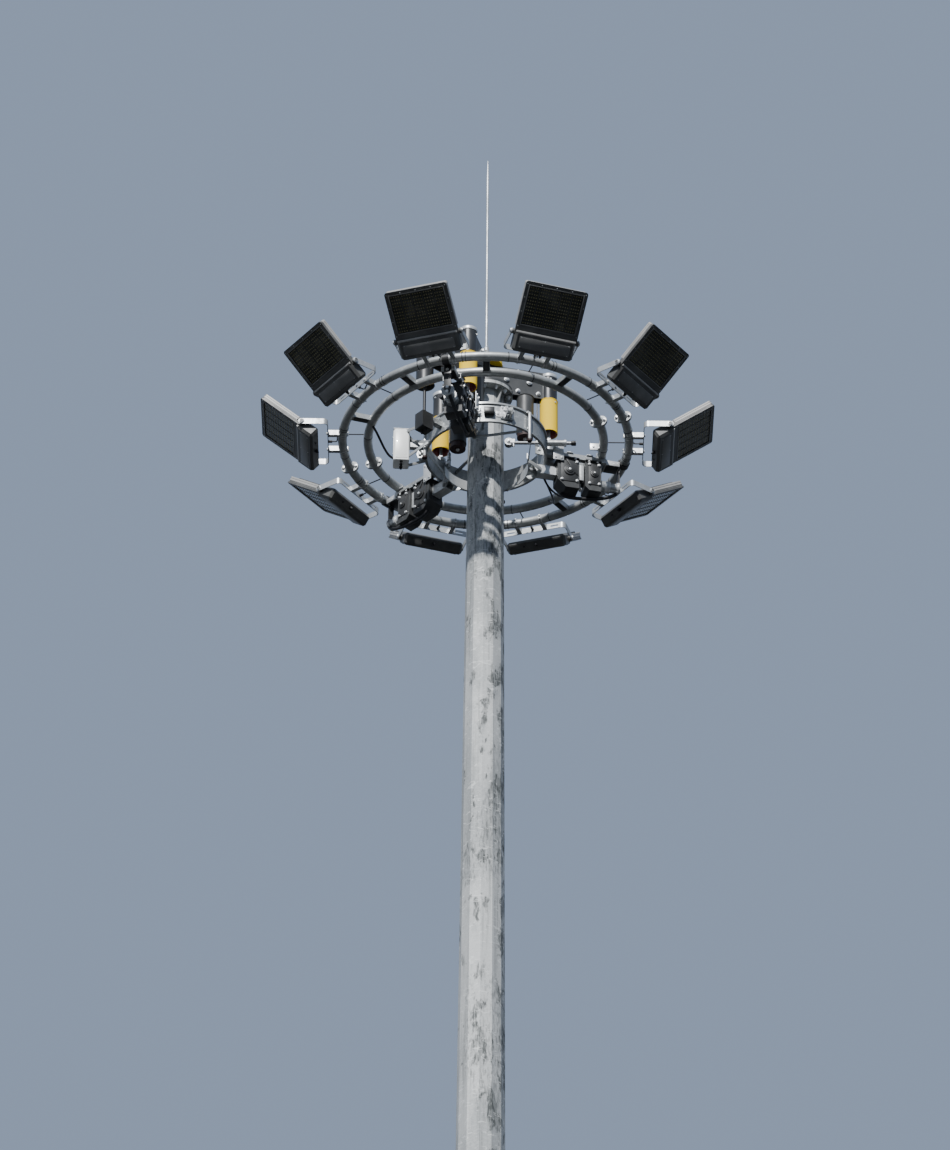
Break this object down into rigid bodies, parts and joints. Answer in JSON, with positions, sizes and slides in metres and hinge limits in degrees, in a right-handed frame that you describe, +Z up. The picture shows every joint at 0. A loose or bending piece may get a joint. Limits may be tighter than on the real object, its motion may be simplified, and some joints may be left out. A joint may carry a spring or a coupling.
{
  "type": "high mast floodlight tower",
  "caption": "Tapered many-sided steel mast on an anchor flange, with a hoisted double ring of tilting floodlights latched under a sheave head that carries a lightning rod.",
  "frame": {"origin": "centre of the base flange's underside, on the mast's axis", "axes": "+Z up the mast; -Y faces the side seen in the picture; +X to its right"},
  "size_m": [3.2123, 3.1892, 27.145],
  "materials": {
    "galvanised_pole": "weathered hot-dip galvanised",
    "galvanised_ring": "hot-dip galvanised",
    "galvanised_fitting": "hot-dip galvanised",
    "galvanised_yoke": "bright galvanised",
    "dark_steel": "satin dark grey paint",
    "rope_steel": "stranded wire rope",
    "rod_steel": "bright",
    "guide_steel": "dull",
    "black_cable": "matt",
    "black_tube": "matt black",
    "yellow_sleeve": "weathered yellow",
    "yellow_cap": "weathered yellow",
    "buffer_rubber": "dark brown",
    "dark_box": "satin",
    "white_box": "gloss white",
    "flood_body": "charcoal powder coat",
    "flood_glass": "clear over light sources"
  },
  "bodies": {
    "mast": {"base_flange": "galvanised_pole", "pole_lower_section": "galvanised_pole", "pole_middle_section": "galvanised_pole", "pole_upper_section": "galvanised_pole", "service_door": "galvanised_pole", "top_flange": "galvanised_pole", "head_plate": "dark_steel", "head_frame": "dark_steel", "head_sheaves": "galvanised_fitting", "head_ropes": "rope_steel", "head_cable": "black_cable", "latch_tubes": "black_tube", "latch_sleeves": "yellow_sleeve", "stop_buffers": "dark_steel", "buffer_pads": "buffer_rubber", "cable_bell": "black_tube", "head_cap": "yellow_cap", "lightning_rod": "rod_steel", "hoist_ropes": "rope_steel", "power_cable": "black_cable"},
    "ring": {"outer_ring_half_a": "galvanised_ring", "outer_ring_half_b": "galvanised_ring", "inner_ring_half_a": "galvanised_ring", "inner_ring_half_b": "galvanised_ring", "ring_spacers": "galvanised_ring", "guide_band": "galvanised_fitting", "station_frames": "galvanised_fitting", "station_carriages": "dark_steel", "station_stubs": "galvanised_fitting", "hook_rods": "rod_steel", "guide_housings": "galvanised_fitting", "lamp_yokes": "galvanised_yoke", "yoke_blocks": "galvanised_yoke", "control_box": "white_box", "cable_box": "dark_box", "box_brackets": "galvanised_fitting", "lamp_leads": "black_cable"},
    "guide_1": {"guide_1": "guide_steel"},
    "guide_2": {"guide_2": "guide_steel"},
    "guide_3": {"guide_3": "guide_steel"},
    "flood_01": {"flood_01_housing": "flood_body", "flood_01_window": "flood_glass"},
    "flood_02": {"flood_02_housing": "flood_body", "flood_02_window": "flood_glass"},
    "flood_03": {"flood_03_housing": "flood_body", "flood_03_window": "flood_glass"},
    "flood_04": {"flood_04_housing": "flood_body", "flood_04_window": "flood_glass"},
    "flood_05": {"flood_05_housing": "flood_body", "flood_05_window": "flood_glass"},
    "flood_06": {"flood_06_housing": "flood_body", "flood_06_window": "flood_glass"},
    "flood_07": {"flood_07_housing": "flood_body", "flood_07_window": "flood_glass"},
    "flood_08": {"flood_08_housing": "flood_body", "flood_08_window": "flood_glass"},
    "flood_09": {"flood_09_housing": "flood_body", "flood_09_window": "flood_glass"},
    "flood_10": {"flood_10_housing": "flood_body", "flood_10_window": "flood_glass"}
  },
  "joints": [
    {"name": "ring_hoist", "type": "slide", "parent": "mast", "child": "ring", "axis": [0, 0, 1], "range_m": [-22.7, 0], "deforming": ["hoist_ropes", "power_cable"]},
    {"name": "guide_1_slide", "type": "slide", "parent": "ring", "child": "guide_1", "axis": [1, 0, 0], "range_m": [0, 0.14]},
    {"name": "guide_2_slide", "type": "slide", "parent": "ring", "child": "guide_2", "axis": [-0.5, 0.866, 0], "range_m": [0, 0.14]},
    {"name": "guide_3_slide", "type": "slide", "parent": "ring", "child": "guide_3", "axis": [-0.5, -0.866, 0], "range_m": [0, 0.14]},
    {"name": "flood_01_tilt", "type": "hinge", "parent": "ring", "child": "flood_01", "pos_m": [1.3, 0, 24.58], "axis": [0, -1, 0], "range_deg": [-30, 45]},
    {"name": "flood_02_tilt", "type": "hinge", "parent": "ring", "child": "flood_02", "pos_m": [1.05172, 0.76412, 24.58], "axis": [0.5878, -0.809, 0], "range_deg": [-30, 45]},
    {"name": "flood_03_tilt", "type": "hinge", "parent": "ring", "child": "flood_03", "pos_m": [0.40172, 1.23637, 24.58], "axis": [0.9511, -0.309, 0], "range_deg": [-30, 45]},
    {"name": "flood_04_tilt", "type": "hinge", "parent": "ring", "child": "flood_04", "pos_m": [-0.40172, 1.23637, 24.58], "axis": [0.9511, 0.309, 0], "range_deg": [-30, 45]},
    {"name": "flood_05_tilt", "type": "hinge", "parent": "ring", "child": "flood_05", "pos_m": [-1.05172, 0.76412, 24.58], "axis": [0.5878, 0.809, 0], "range_deg": [-30, 45]},
    {"name": "flood_06_tilt", "type": "hinge", "parent": "ring", "child": "flood_06", "pos_m": [-1.3, 0, 24.58], "axis": [0, 1, 0], "range_deg": [-30, 45]},
    {"name": "flood_07_tilt", "type": "hinge", "parent": "ring", "child": "flood_07", "pos_m": [-1.05172, -0.76412, 24.58], "axis": [-0.5878, 0.809, 0], "range_deg": [-30, 45]},
    {"name": "flood_08_tilt", "type": "hinge", "parent": "ring", "child": "flood_08", "pos_m": [-0.40172, -1.23637, 24.58], "axis": [-0.9511, 0.309, 0], "range_deg": [-30, 45]},
    {"name": "flood_09_tilt", "type": "hinge", "parent": "ring", "child": "flood_09", "pos_m": [0.40172, -1.23637, 24.58], "axis": [-0.9511, -0.309, 0], "range_deg": [-30, 45]},
    {"name": "flood_10_tilt", "type": "hinge", "parent": "ring", "child": "flood_10", "pos_m": [1.05172, -0.76412, 24.58], "axis": [-0.5878, -0.809, 0], "range_deg": [-30, 45]}
  ],
  "couplings": [
    {"joint": "guide_1_slide", "follows": "ring_hoist", "ratio": -0.006},
    {"joint": "guide_2_slide", "follows": "ring_hoist", "ratio": -0.006},
    {"joint": "guide_3_slide", "follows": "ring_hoist", "ratio": -0.006}
  ]
}
